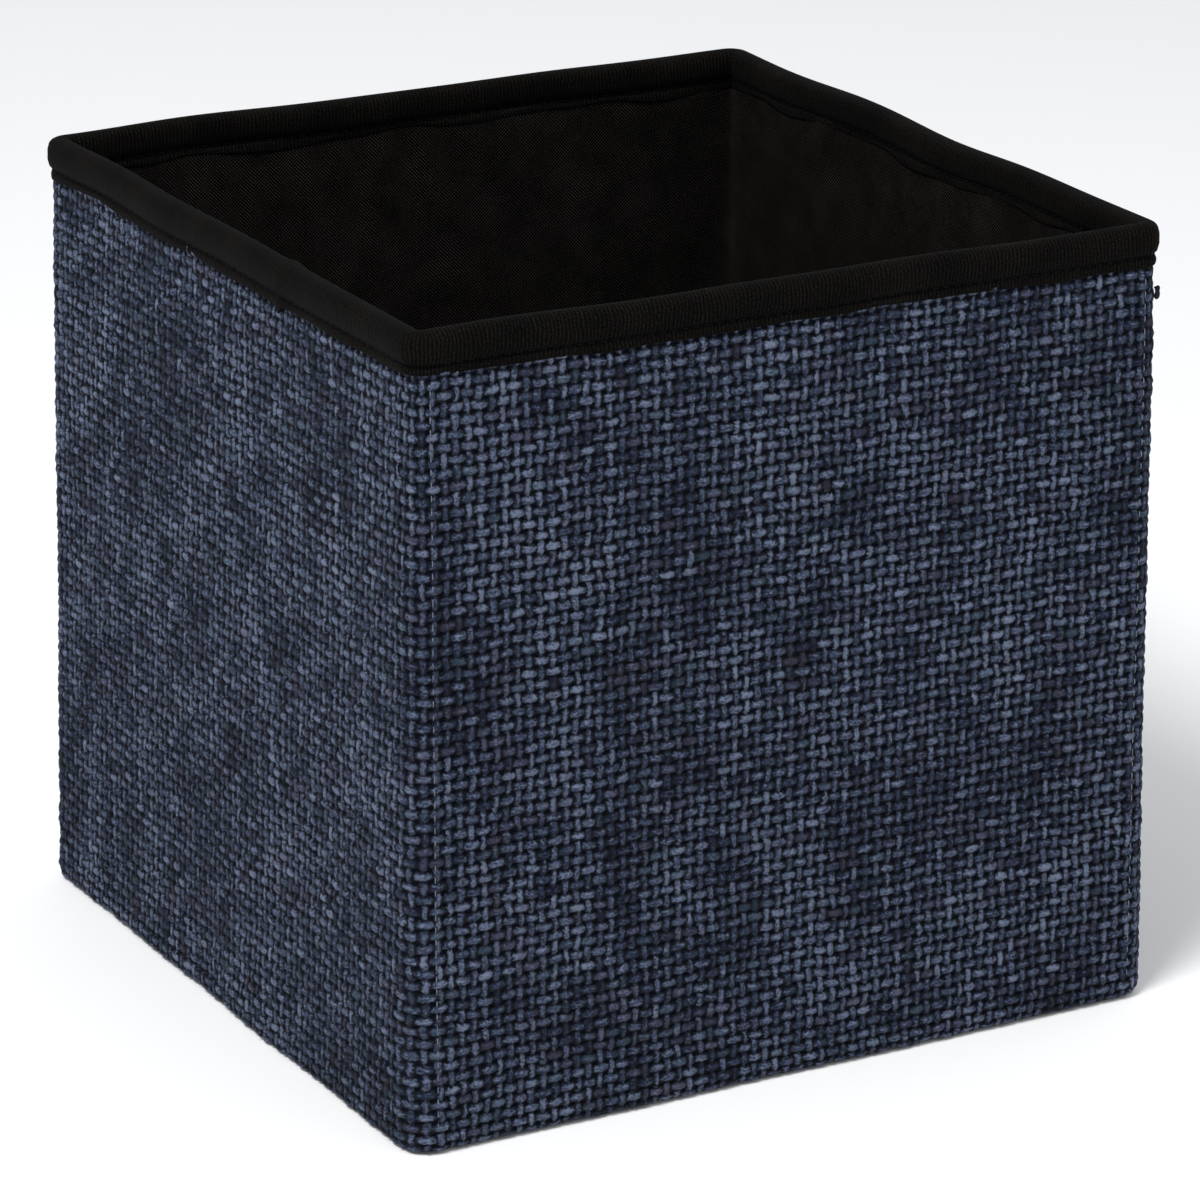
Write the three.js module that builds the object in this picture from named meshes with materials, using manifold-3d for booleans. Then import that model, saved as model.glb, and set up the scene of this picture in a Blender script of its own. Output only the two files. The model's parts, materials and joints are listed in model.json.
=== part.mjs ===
// Fabric storage bin: four board-stiffened fabric walls, a bound rim, a fabric
// bottom and a loose base insert. Millimetres, +Z up, the bin stands on z = 0
// with its front wall facing -Y. The side walls fold inward at their middle.
import * as THREE from 'three';
import { mergeVertices } from 'three/addons/utils/BufferGeometryUtils.js';
import Module from 'manifold-3d';

const wasm = await Module();
wasm.setup();

// Overall sizes
const WIDTH = 312;
const DEPTH = 310;
const HEIGHT = 300;
const CORNER_R = 10.5;

// Thicknesses
const TAPE_T = 1.2;
const FABRIC_T = 1.8;
const WALL_BOARD_T = 2.5;
const LINING_T = 0.8;
const THREAD_T = 0.5;
const COVER_T = 0.8;
const BASE_BOARD_T = 2.5;

// Rim tape, its stitch line and the tail of its overlap
const TAPE_H = 16;
const TAPE_TOP_R = 2.6;
const STITCH_DROP = 12;
const TAIL_W = 8;
const TAIL_H = 3;
const TAIL_FROM_CREASE = 49;

// Bottom and insert
const BOTTOM_EDGE_R = 5;
const COVER_RETURN_W = 18;
const COVER_CORNER_R = 4;

// Clearances
const GAP = 0.3;
const BOARD_CREASE_GAP = 2;
const BOARD_CORNER_GAP = 1;
const INSERT_GAP = 4.3;

// Depths below the outermost face
const FABRIC_IN = TAPE_T + GAP;
const FABRIC_END = FABRIC_IN + FABRIC_T;
const BOARD_IN = FABRIC_END + GAP;
const LINING_IN = BOARD_IN + WALL_BOARD_T + GAP;
const LINING_END = LINING_IN + LINING_T;
const RIM_END = LINING_END + GAP + TAPE_T;
const COVER_IN = RIM_END + INSERT_GAP;
const BASE_BOARD_IN = COVER_IN + COVER_T + GAP;
const BASE_LINING_IN = FABRIC_IN + BOTTOM_EDGE_R;

// Levels
const BASE_LINING_Z = FABRIC_T + GAP;
const INSERT_Z = BASE_LINING_Z + LINING_T + GAP;
const BASE_BOARD_Z = INSERT_Z + COVER_T + GAP;
const COVER_TOP_Z = BASE_BOARD_Z + BASE_BOARD_T + GAP;
const INSERT_TOP = COVER_TOP_Z + COVER_T;
const TRAY_TOP = INSERT_TOP + GAP;
const WALL_Z = TRAY_TOP + GAP;
const WALL_TOP = HEIGHT - TAPE_T - GAP;
const TAPE_Z = HEIGHT - TAPE_H;
const STITCH_Z = HEIGHT - STITCH_DROP;

// Facets in an eighth of a turn, and around a thread
const ARC_STEPS = 5;
const THREAD_SIDES = 8;

// Wall sections, counter-clockwise from the front. A side wall is two halves
// that meet at its crease. Each end is either a mitred corner or the crease.
const END_WALL = { dist: DEPTH / 2, half: WIDTH / 2 };
const SIDE_WALL = { dist: WIDTH / 2, half: DEPTH / 2 };
const FRONT_SEAMS = { low: 'front_left', high: 'front_right' };
const BACK_SEAMS = { low: 'back_right', high: 'back_left' };
const SECTIONS = [
  { name: 'front', turn: 0, low: 'corner', high: 'corner', ...END_WALL, seams: FRONT_SEAMS },
  { name: 'right_front', turn: 1, low: 'corner', high: 'crease', ...SIDE_WALL },
  { name: 'right_back', turn: 1, low: 'crease', high: 'corner', ...SIDE_WALL },
  { name: 'back', turn: 2, low: 'corner', high: 'corner', ...END_WALL, seams: BACK_SEAMS },
  { name: 'left_back', turn: 3, low: 'corner', high: 'crease', ...SIDE_WALL },
  { name: 'left_front', turn: 3, low: 'crease', high: 'corner', ...SIDE_WALL },
];

const LOOKS = {
  outer_fabric: { color: 0x2f3543, roughness: 0.95, metalness: 0 },
  lining: { color: 0x141414, roughness: 0.85, metalness: 0 },
  board: { color: 0x8a7a62, roughness: 0.9, metalness: 0 },
  binding: { color: 0x151413, roughness: 0.8, metalness: 0 },
  thread: { color: 0x0e0e0e, roughness: 0.7, metalness: 0 },
  seam_thread: { color: 0x70747c, roughness: 0.7, metalness: 0 },
  insert_cover: { color: 0x161617, roughness: 0.85, metalness: 0 },
};

// The course of a wall section in plan, along its outermost face. u runs along
// the wall from its middle, and each step of the curve is one station.
class WallPath extends THREE.Curve {
  constructor(section) {
    super();
    this.section = section;
    this.stations = [...endStations(section, 'low').reverse(), ...endStations(section, 'high')];
  }

  get steps() {
    return this.stations.length - 1;
  }

  station(t) {
    return this.stations[Math.round(t * this.steps)];
  }

  getPointAt(t) {
    const { u, angle } = this.station(t);
    const x = u + CORNER_R * Math.sin(angle);
    const y = CORNER_R - CORNER_R * Math.cos(angle) - this.section.dist;
    return new THREE.Vector3(x, y, 0);
  }

  getTangentAt(t) {
    const { angle } = this.station(t);
    return new THREE.Vector3(Math.cos(angle), Math.sin(angle), 0);
  }
}

function endStations(section, end) {
  const side = end === 'low' ? -1 : 1;
  if (section[end] === 'crease') return [{ u: -side * GAP / 2, angle: 0 }];
  const u = side * (section.half - CORNER_R);
  const stations = [];
  for (let i = 0; i <= ARC_STEPS; i += 1) {
    stations.push({ u, angle: side * Math.PI / 4 * i / ARC_STEPS });
  }
  return stations;
}

function toSolid(geometry) {
  const clean = geometry.clone();
  clean.deleteAttribute('normal');
  clean.deleteAttribute('uv');
  const merged = mergeVertices(clean, 1e-4);
  const mesh = new wasm.Mesh({
    numProp: 3,
    vertProperties: Float32Array.from(merged.attributes.position.array),
    triVerts: Uint32Array.from(merged.index.array),
  });
  return new wasm.Manifold(mesh);
}

function toGeometry(solid) {
  const mesh = solid.getMesh();
  const geometry = new THREE.BufferGeometry();
  const position = new THREE.BufferAttribute(Float32Array.from(mesh.vertProperties), 3);
  geometry.setAttribute('position', position);
  geometry.setIndex(new THREE.BufferAttribute(Uint32Array.from(mesh.triVerts), 1));
  const flat = geometry.toNonIndexed();
  flat.computeVertexNormals();
  return flat;
}

function named(name, geometry, look) {
  const material = new THREE.MeshStandardMaterial(LOOKS[look]);
  material.name = look;
  const mesh = new THREE.Mesh(geometry, material);
  mesh.name = name;
  return mesh;
}

function box(x0, x1, y0, y1, z0, z1) {
  const geometry = new THREE.BoxGeometry(x1 - x0, y1 - y0, z1 - z0);
  return geometry.translate((x0 + x1) / 2, (y0 + y1) / 2, (z0 + z1) / 2);
}

function placed(geometry, section) {
  return geometry.rotateZ(section.turn * Math.PI / 2);
}

// Cuts a wall piece back from the mitre plane at one of its corners.
function mitred(solid, section, end) {
  if (section[end] !== 'corner') return solid;
  const side = end === 'low' ? -1 : 1;
  const normal = [-side * Math.SQRT1_2, -Math.SQRT1_2, 0];
  const centre = [side * (section.half - CORNER_R), CORNER_R - section.dist];
  const offset = normal[0] * centre[0] + normal[1] * centre[1];
  return solid.trimByPlane(normal, offset + GAP / 2);
}

// Sweeps a profile of [depth, height] points along a wall section.
function sweep(section, profile) {
  const shape = new THREE.Shape(profile.map(([depth, z]) => new THREE.Vector2(-z, depth)));
  const path = new WallPath(section);
  const options = { steps: path.steps, bevelEnabled: false, extrudePath: path };
  let solid = toSolid(new THREE.ExtrudeGeometry(shape, options));
  solid = mitred(mitred(solid, section, 'low'), section, 'high');
  return placed(toGeometry(solid), section);
}

function layer(section, near, far) {
  return sweep(section, [[near, WALL_Z], [far, WALL_Z], [far, WALL_TOP], [near, WALL_TOP]]);
}

function stiffener(section) {
  const corner = section.half - CORNER_R - BOARD_CORNER_GAP;
  const low = section.low === 'crease' ? BOARD_CREASE_GAP : -corner;
  const high = section.high === 'crease' ? -BOARD_CREASE_GAP : corner;
  const y0 = BOARD_IN - section.dist;
  return placed(box(low, high, y0, y0 + WALL_BOARD_T, WALL_Z, WALL_TOP), section);
}

function roundedTop() {
  const points = [];
  const steps = 4;
  for (let i = 0; i <= steps; i += 1) {
    const angle = Math.PI / 2 * i / steps;
    const across = TAPE_TOP_R - TAPE_TOP_R * Math.cos(angle);
    points.push([across, HEIGHT - TAPE_TOP_R + TAPE_TOP_R * Math.sin(angle)]);
  }
  return points;
}

// The rim tape: an outer leg with a stitch groove, a rounded top and an inner leg.
function binding(section) {
  const ceiling = HEIGHT - TAPE_T;
  const grooveEnd = THREAD_T + GAP;
  const grooveLow = STITCH_Z - THREAD_T / 2 - GAP;
  const grooveHigh = STITCH_Z + THREAD_T / 2 + GAP;
  const top = roundedTop();
  return sweep(section, [
    [TAPE_T, TAPE_Z],
    [TAPE_T, ceiling],
    [RIM_END - TAPE_T, ceiling],
    [RIM_END - TAPE_T, TAPE_Z],
    [RIM_END, TAPE_Z],
    ...top.map(([across, z]) => [RIM_END - across, z]),
    ...top.reverse(),
    [0, grooveHigh],
    [grooveEnd, grooveHigh],
    [grooveEnd, grooveLow],
    [0, grooveLow],
    [0, TAPE_Z],
  ]);
}

function rimThread(section) {
  const radius = THREAD_T / 2;
  const profile = [];
  for (let i = 0; i < THREAD_SIDES; i += 1) {
    const angle = 2 * Math.PI * i / THREAD_SIDES;
    profile.push([radius + radius * Math.cos(angle), STITCH_Z + radius * Math.sin(angle)]);
  }
  return sweep(section, profile);
}

// An upright thread outside the outer fabric, just short of the corner's mitre.
function cornerThread(section, end) {
  const side = end === 'low' ? -1 : 1;
  const radius = THREAD_T / 2;
  const reach = CORNER_R - FABRIC_IN + GAP + radius;
  const angle = Math.PI / 5;
  const height = TAPE_Z - GAP - WALL_Z;
  const geometry = new THREE.CylinderGeometry(radius, radius, height, THREAD_SIDES);
  geometry.rotateX(Math.PI / 2);
  const u = side * (section.half - CORNER_R + reach * Math.sin(angle));
  const y = CORNER_R - reach * Math.cos(angle) - section.dist;
  return placed(geometry.translate(u, y, WALL_Z + height / 2), section);
}

// The end of the tape where it overlaps its own start, showing below the rim.
function bindingTail(section) {
  const u = TAIL_FROM_CREASE;
  const far = FABRIC_IN - GAP - section.dist;
  const top = TAPE_Z - GAP;
  const geometry = box(u, u + TAIL_W, far - THREAD_T, far, top - TAIL_H, top);
  return placed(geometry, section);
}

// A flat slab whose edges lie at a given depth below the outermost faces. With
// edgeR, its lower edge is rounded.
function slab(depthIn, cornerR, z0, z1, edgeR = 0) {
  const x = WIDTH / 2 - depthIn;
  const y = DEPTH / 2 - depthIn;
  const quarter = Math.PI / 2;
  const shape = new THREE.Shape();
  shape.absarc(x - cornerR, y - cornerR, cornerR, 0, quarter);
  shape.absarc(cornerR - x, y - cornerR, cornerR, quarter, 2 * quarter);
  shape.absarc(cornerR - x, cornerR - y, cornerR, 2 * quarter, 3 * quarter);
  shape.absarc(x - cornerR, cornerR - y, cornerR, 3 * quarter, 4 * quarter);
  const plain = { depth: z1 - z0, curveSegments: 2 * ARC_STEPS, bevelEnabled: false };
  if (edgeR === 0) return toSolid(new THREE.ExtrudeGeometry(shape, plain).translate(0, 0, z0));
  const bevel = { bevelEnabled: true, bevelThickness: edgeR, bevelSize: edgeR };
  const rounded = { ...plain, ...bevel, bevelOffset: -edgeR, bevelSegments: ARC_STEPS };
  const geometry = new THREE.ExtrudeGeometry(shape, rounded).translate(0, 0, z0 + edgeR);
  return toSolid(geometry).trimByPlane([0, 0, -1], -z1);
}

// The bottom cloth with its turned-up, rounded edge.
function bottomFabric() {
  const outer = slab(FABRIC_IN, CORNER_R - FABRIC_IN, 0, TRAY_TOP, BOTTOM_EDGE_R);
  const innerR = CORNER_R - FABRIC_END;
  const inner = slab(FABRIC_END, innerR, FABRIC_T, TRAY_TOP + GAP, BOTTOM_EDGE_R - FABRIC_T);
  return toGeometry(outer.subtract(inner));
}

function bottomLining() {
  const top = BASE_LINING_Z + LINING_T;
  return toGeometry(slab(BASE_LINING_IN, CORNER_R - BASE_LINING_IN, BASE_LINING_Z, top));
}

function insertBoard() {
  const cornerR = COVER_CORNER_R - COVER_T - GAP;
  return toGeometry(slab(BASE_BOARD_IN, cornerR, BASE_BOARD_Z, BASE_BOARD_Z + BASE_BOARD_T));
}

// Cover cloth over the insert's top and edges, with a return under its rim.
function insertCover() {
  const outer = slab(COVER_IN, COVER_CORNER_R, INSERT_Z, INSERT_TOP);
  const innerR = COVER_CORNER_R - COVER_T;
  const inner = slab(COVER_IN + COVER_T, innerR, BASE_BOARD_Z - GAP, COVER_TOP_Z);
  const window = slab(COVER_IN + COVER_RETURN_W, innerR, INSERT_Z - GAP, BASE_BOARD_Z);
  return toGeometry(outer.subtract(inner.add(window)));
}

const bin = new THREE.Group();
for (const section of SECTIONS) {
  const { name, seams = {} } = section;
  bin.add(named(`${name}_outer_fabric`, layer(section, FABRIC_IN, FABRIC_END), 'outer_fabric'));
  bin.add(named(`${name}_stiffener`, stiffener(section), 'board'));
  bin.add(named(`${name}_lining`, layer(section, LINING_IN, LINING_END), 'lining'));
  bin.add(named(`${name}_binding`, binding(section), 'binding'));
  bin.add(named(`${name}_rim_thread`, rimThread(section), 'thread'));
  for (const [end, corner] of Object.entries(seams)) {
    bin.add(named(`${corner}_seam_thread`, cornerThread(section, end), 'seam_thread'));
  }
  if (name === 'left_front') {
    bin.add(named('binding_tail', bindingTail(section), 'binding'));
  }
}
bin.add(named('bottom_outer_fabric', bottomFabric(), 'outer_fabric'));
bin.add(named('bottom_lining', bottomLining(), 'lining'));
bin.add(named('insert_board', insertBoard(), 'board'));
bin.add(named('insert_cover', insertCover(), 'insert_cover'));

export default bin;
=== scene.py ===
"""Looks of the fabric storage bin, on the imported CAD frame. Metres, +Z up, front wall towards -Y."""
import json
import math

import bpy
import numpy as np
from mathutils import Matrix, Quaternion, Vector


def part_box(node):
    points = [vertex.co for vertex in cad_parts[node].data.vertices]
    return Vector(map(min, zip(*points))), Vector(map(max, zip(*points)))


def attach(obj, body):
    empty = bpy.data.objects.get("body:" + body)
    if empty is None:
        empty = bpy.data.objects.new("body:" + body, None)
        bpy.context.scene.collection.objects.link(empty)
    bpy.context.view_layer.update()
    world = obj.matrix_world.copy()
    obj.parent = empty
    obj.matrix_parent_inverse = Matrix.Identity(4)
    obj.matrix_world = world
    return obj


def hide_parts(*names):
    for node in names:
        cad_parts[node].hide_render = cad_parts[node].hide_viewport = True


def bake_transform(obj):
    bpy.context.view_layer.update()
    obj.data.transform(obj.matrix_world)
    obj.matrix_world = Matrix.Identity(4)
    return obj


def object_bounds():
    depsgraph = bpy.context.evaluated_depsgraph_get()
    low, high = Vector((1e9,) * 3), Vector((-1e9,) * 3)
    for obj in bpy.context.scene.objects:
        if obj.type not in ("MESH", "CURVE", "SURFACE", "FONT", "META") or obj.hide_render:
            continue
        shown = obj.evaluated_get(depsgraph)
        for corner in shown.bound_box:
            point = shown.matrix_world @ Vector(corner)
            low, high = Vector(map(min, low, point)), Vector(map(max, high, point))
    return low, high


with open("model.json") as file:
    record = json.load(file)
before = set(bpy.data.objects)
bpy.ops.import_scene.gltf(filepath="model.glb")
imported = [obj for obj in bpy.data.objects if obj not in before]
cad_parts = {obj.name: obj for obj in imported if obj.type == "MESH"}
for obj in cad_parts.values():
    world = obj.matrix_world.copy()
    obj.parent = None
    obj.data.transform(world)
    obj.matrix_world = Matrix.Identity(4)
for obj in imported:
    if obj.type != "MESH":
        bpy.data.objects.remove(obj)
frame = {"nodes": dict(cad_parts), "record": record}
CAD_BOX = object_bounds()

MM = 0.001
LOW, HIGH = CAD_BOX
HALF_X, HALF_Y, TOP = HIGH.x, HIGH.y, HIGH.z


def depth_of(node, end):
    """How far a front wall node's outer (0) or inner (1) face lies behind the outermost face."""
    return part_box(node)[end].y - LOW.y


# Depths below the outermost face and levels, from the CAD. The inner faces of the lining and the tape are
# counted on from the board's, because their own boxes reach round the corners.
CLOTH_IN = depth_of("front_outer_fabric", 0)
BOARD_IN = depth_of("front_stiffener", 0)
BOARD_END = depth_of("front_stiffener", 1)
LINING_END = BOARD_END + 1.1 * MM
RIM_END = LINING_END + 1.5 * MM
RIM_MIDDLE = RIM_END / 2
WALL_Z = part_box("front_outer_fabric")[0].z
TAPE_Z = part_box("front_binding")[0].z
STITCH_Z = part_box("front_rim_thread")[0].z
TRAY_EDGE_R = 5 * MM

# The walls lean in a little: a soft rim is pulled in, and the base bulges
BASE_OUT = 1.6 * MM
RIM_IN = 3.4 * MM
WALL_SOFT = 0.35 * MM

# The left wall's kink at the foot of its crease: its size, how fast it turns, how far it is felt
KINK, KINK_TURN, KINK_REACH = 1.1 * MM, 8 * MM, 70 * MM

# Plan of the bin: a core rectangle that every layer stands off from. Distances round it are
# counted from the front wall's middle, and round a corner at COUNTED_R.
CORE_R = 12 * MM
COUNTED_R = 9 * MM
CORE_X, CORE_Y = HALF_X - CORE_R, HALF_Y - CORE_R
ARC = math.pi / 2 * COUNTED_R
SPAN_X, SPAN_Y = 2 * CORE_X, 2 * CORE_Y
ROUND = 2 * (SPAN_X + SPAN_Y) + 4 * ARC
RIGHT_MID = CORE_X + ARC + CORE_Y
BACK_MID = RIGHT_MID + CORE_Y + ARC + CORE_X
LEFT_MID = -RIGHT_MID
OVERHANG = 3 * MM

# Weave: yarns stand at WARP along the wall and WEFT up it, an even number of warps round the bin
WARPS = 264
WARP = ROUND / WARPS
WEFT = 4.5 * MM
SEAM_Z = WALL_Z - 0.15 * MM
RELIEF, RELIEF_LEVEL = 1.4 * MM, 0.75
WARP_PARTS = ((0.0, 0.25, 0.5, 0.75))
WEFT_PARTS = ((0.06, 0.28, 0.5, 0.72, 0.94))

rng = np.random.default_rng(7)


def waves(count, shortest, longest):
    """Fixed random waves for a smooth wobble that closes on itself round the bin."""
    angle = rng.uniform(0, 2 * math.pi, count)
    size = 2 * math.pi / rng.uniform(shortest, longest, count)
    phase = rng.uniform(0, 2 * math.pi, count)
    turn = 2 * math.pi / ROUND
    return np.round(size * np.cos(angle) / turn) * turn, size * np.sin(angle), phase


def wobble(kinds, a, b):
    """Height of the waves at a round the bin and b up it, mostly within -1 to 1."""
    return sum(np.sin(ka * a + kb * b + p) for ka, kb, p in zip(*kinds)) / math.sqrt(len(kinds[0]))


SIDE_WAVES = waves(9, 18 * MM, 60 * MM)
ROW_WAVES = waves(9, 18 * MM, 60 * MM)
PLY_WAVES = waves(12, 9 * MM, 16 * MM)
SOFT_WAVES = waves(7, 60 * MM, 160 * MM)
FLAP_WAVES = waves(6, 30 * MM, 90 * MM)
RIM_WAVES = waves(6, 50 * MM, 120 * MM)


def lean(z):
    """How far out the leaning walls stand at height z."""
    return BASE_OUT - (BASE_OUT + RIM_IN) * np.asarray(z) / TOP


def plan(s):
    """Core point and outward normal at distance s round the bin, from the front wall's middle."""
    t = np.mod(np.asarray(s, float) + CORE_X, ROUND)
    corners = [(-CORE_X, -CORE_Y), (CORE_X, -CORE_Y), (CORE_X, CORE_Y), (-CORE_X, CORE_Y)]
    x, y, turn = np.zeros_like(t), np.zeros_like(t), np.zeros_like(t)
    start = 0.0
    for k, span in enumerate((SPAN_X, SPAN_Y, SPAN_X, SPAN_Y)):
        (ax, ay), (bx, by) = corners[k], corners[(k + 1) % 4]
        along = (t - start) / span
        here = (along >= 0) & (along <= 1)
        x = np.where(here, ax + (bx - ax) * along, x)
        y = np.where(here, ay + (by - ay) * along, y)
        turn = np.where(here, k * math.pi / 2, turn)
        start += span
        round_it = (t - start) / ARC
        here = (round_it > 0) & (round_it < 1)
        x, y = np.where(here, bx, x), np.where(here, by, y)
        turn = np.where(here, (k + round_it) * math.pi / 2, turn)
        start += ARC
    return x, y, np.sin(turn), -np.cos(turn)


def crease_kink(s, z):
    """The left wall's front half stands a little further out at its foot than its back half."""
    off = np.asarray(s) - LEFT_MID
    fade = np.exp(-((off / KINK_REACH) ** 2)) * np.exp(-np.asarray(z) / KINK_REACH)
    return KINK * np.tanh(off / KINK_TURN) * fade


def softness(s, z):
    """How far a wall, with all its layers, stands off its plane."""
    return WALL_SOFT * wobble(SOFT_WAVES, s, z) + crease_kink(s, z)


def place(s, depth, z):
    """Points at distance s round the bin, a depth behind the outermost face, at height z."""
    s, depth, z = np.broadcast_arrays(s, depth, z)
    x, y, nx, ny = plan(s)
    out = CORE_R - depth + lean(z) + softness(s, z)
    return np.stack([x + nx * out, y + ny * out, z], -1)


def smooth(t):
    """Rises from 0 to 1 with t, level at both ends."""
    t = np.clip(t, 0, 1)
    return t * t * (3 - 2 * t)


def steps(start, end, step):
    """Even places from start to end, about a step apart."""
    return np.linspace(start, end, max(2, round((end - start) / step) + 1))


def add_mesh(name, points, faces, material, uv=None, caps=()):
    """A mesh object from points, quads, one UV for each point, and caps with any number of corners."""
    mesh = bpy.data.meshes.new(name)
    faces, points = np.asarray(faces, np.int32), np.asarray(points)
    if len(caps):
        points, uv, caps = own_cap_points(points, uv, caps)
    corners = np.concatenate([faces.ravel(), *[np.asarray(cap, np.int32) for cap in caps]])
    sizes = np.array([4] * len(faces) + [len(cap) for cap in caps])
    mesh.vertices.add(len(points))
    mesh.vertices.foreach_set("co", np.asarray(points, np.float32).ravel())
    mesh.loops.add(len(corners))
    mesh.loops.foreach_set("vertex_index", corners)
    mesh.polygons.add(len(sizes))
    mesh.polygons.foreach_set("loop_start", (np.cumsum(sizes) - sizes).astype(np.int32))
    smooth_face = np.ones(len(sizes), bool)
    smooth_face[len(faces):] = False
    mesh.polygons.foreach_set("use_smooth", smooth_face)
    if uv is not None:
        layer = mesh.uv_layers.new(name="yarn")
        layer.uv.foreach_set("vector", np.asarray(uv, np.float32)[corners].ravel())
    mesh.update(calc_edges=True)
    mesh.materials.append(material)
    ob = bpy.data.objects.new(name, mesh)
    bpy.context.scene.collection.objects.link(ob)
    return ob


def own_cap_points(points, uv, caps):
    """Gives each cap its own points, so that its flat face doesn't bend the shading beside it."""
    firsts = len(points) + np.cumsum([0] + [len(cap) for cap in caps[:-1]])
    taken = np.concatenate([np.asarray(cap) for cap in caps])
    new_caps = [first + np.arange(len(cap)) for first, cap in zip(firsts, caps)]
    if uv is not None:
        uv = np.concatenate([uv, uv[taken]])
    return np.concatenate([points, points[taken]]), uv, new_caps


def ring_caps(rings, cols):
    """The two end faces of a closed tube whose points run along it first."""
    first = [r * cols for r in range(rings)]
    return first, [r * cols + cols - 1 for r in reversed(range(rings))]


def grid_faces(rows, cols, wrap=False, flip=False):
    """Quads of a grid whose points run along its rows first; wrap joins the last row to the first."""
    r = np.arange(rows if wrap else rows - 1)[:, None]
    c = np.arange(cols - 1)[None, :]
    a, b = r * cols + c, (r + 1) % rows * cols + c
    quads = np.stack([a, a + 1, b + 1, b], -1).reshape(-1, 4)
    return quads[:, ::-1] if flip else quads


# ---------------------------------------------------------------- materials


class Nodes:
    """Builds a node tree from short expressions."""

    def __init__(self, name):
        self.material = bpy.data.materials.new(name)
        self.material.use_nodes = True
        self.tree = self.material.node_tree
        self.shader = self.tree.nodes["Principled BSDF"]

    def node(self, kind, **values):
        made = self.tree.nodes.new(kind)
        for key, value in values.items():
            setattr(made, key, value)
        return made

    def plug(self, socket, value):
        if isinstance(value, bpy.types.NodeSocket):
            self.tree.links.new(value, socket)
        else:
            socket.default_value = value

    def math(self, kind, a, b=0.0):
        made = self.node("ShaderNodeMath", operation=kind)
        for socket, value in zip(made.inputs, (a, b)):
            self.plug(socket, value)
        return made.outputs[0]

    def add(self, a, b):
        return self.math("ADD", a, b)

    def sub(self, a, b):
        return self.math("SUBTRACT", a, b)

    def mul(self, a, b):
        return self.math("MULTIPLY", a, b)

    def power(self, a, b):
        return self.math("POWER", self.math("MAXIMUM", a, 0.0), b)

    def swing(self, value, amount, middle=0.5):
        """How far a value is from its middle, times an amount."""
        return self.mul(self.sub(value, middle), amount)

    def total(self, first, *more):
        for value in more:
            first = self.add(first, value)
        return first

    def mix(self, a, b, share):
        return self.add(self.mul(a, self.sub(1.0, share)), self.mul(b, share))

    def step(self, value, low, high):
        made = self.node("ShaderNodeMapRange", interpolation_type="SMOOTHSTEP")
        for key, v in (("Value", value), ("From Min", low), ("From Max", high)):
            self.plug(made.inputs[key], v)
        return made.outputs[0]

    def vector(self, x, y, z=0.0):
        made = self.node("ShaderNodeCombineXYZ")
        for socket, value in zip(made.inputs, (x, y, z)):
            self.plug(socket, value)
        return made.outputs[0]

    def split(self, vector):
        made = self.node("ShaderNodeSeparateXYZ")
        self.plug(made.inputs[0], vector)
        return made.outputs[0], made.outputs[1], made.outputs[2]

    def uv(self):
        return self.split(self.node("ShaderNodeUVMap", uv_map="yarn").outputs[0])[:2]

    def place(self):
        return self.node("ShaderNodeTexCoord").outputs["Object"]

    def noise(self, vector, scale, detail=2.0, rough=0.5):
        made = self.node("ShaderNodeTexNoise")
        for key, v in (("Vector", vector), ("Scale", scale), ("Detail", detail), ("Roughness", rough)):
            self.plug(made.inputs[key], v)
        return made.outputs[0]

    def drawn(self, place, per_u, per_v, layer=0.0, detail=2.0, rough=0.6):
        """Noise that is drawn out: each of two coordinates has its own scale."""
        stretched = self.vector(self.mul(place[0], per_u), self.mul(place[1], per_v), layer)
        return self.noise(stretched, 1.0, detail, rough)

    def white(self, vector):
        made = self.node("ShaderNodeTexWhiteNoise", noise_dimensions="3D")
        self.plug(made.inputs["Vector"], vector)
        return made.outputs["Value"]

    def ramp(self, value, *stops):
        made = self.node("ShaderNodeValToRGB")
        self.plug(made.inputs[0], value)
        elements = made.color_ramp.elements
        for _ in stops[len(elements):]:
            elements.new(0.5)
        for element, (at, color) in zip(elements, stops):
            element.position, element.color = at, (*color, 1)
        return made.outputs[0]

    def tint(self, color, factor, other):
        made = self.node("ShaderNodeMix", data_type="RGBA", blend_type="MIX")
        self.plug(made.inputs[0], factor)
        self.plug(made.inputs[6], color)
        self.plug(made.inputs[7], other)
        return made.outputs[2]

    def bump(self, height, strength, distance):
        made = self.node("ShaderNodeBump")
        for key, value in (("Height", height), ("Strength", strength), ("Distance", distance)):
            self.plug(made.inputs[key], value)
        return made.outputs[0]

    def finish(self, **values):
        for key, value in values.items():
            self.plug(self.shader.inputs[key.replace("_", " ")], value)
        return self.material


# Weave cell: half length and half width of a weft pill and a warp bit, in yarns, and how blunt they are
PILL_U, PILL_V, PILL_ENDS, PILL_SIDES = 0.73, 0.38, 2.6, 2.4
BIT_U, BIT_V, BIT_BLUNT, BIT_HEIGHT = 0.29, 0.73, 3.0, 0.96

# Noises that push the weave about, shag, loose rows and hair: each one's scale, detail and roughness,
# its shift along and up in yarns, and the layers of noise that these two are read from
PUSHES = (
    ((4.2, 2.0, 0.6), (0.55, 0.38), (0.0, 4.0)),
    ((0.6, 1.0, 0.5), (0.60, 0.24), (9.0, 13.0)),
    ((13.0, 2.0, 0.7), (0.42, 0.30), (17.0, 21.0)),
)

# How much each cause of light and dark counts in the cloth's tone, how much painted shade darkens the
# weave's low parts and lightens its tops, and where the tone lies
TONE_SHARES = {"own": 0.24, "fibre": 1.9, "speck": 2.7, "dye": 1.45, "patch": 0.95, "cloud": 0.35}
HEIGHT_SHADE_SHARE, TONE_LEVEL = 0.45, 0.54

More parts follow.
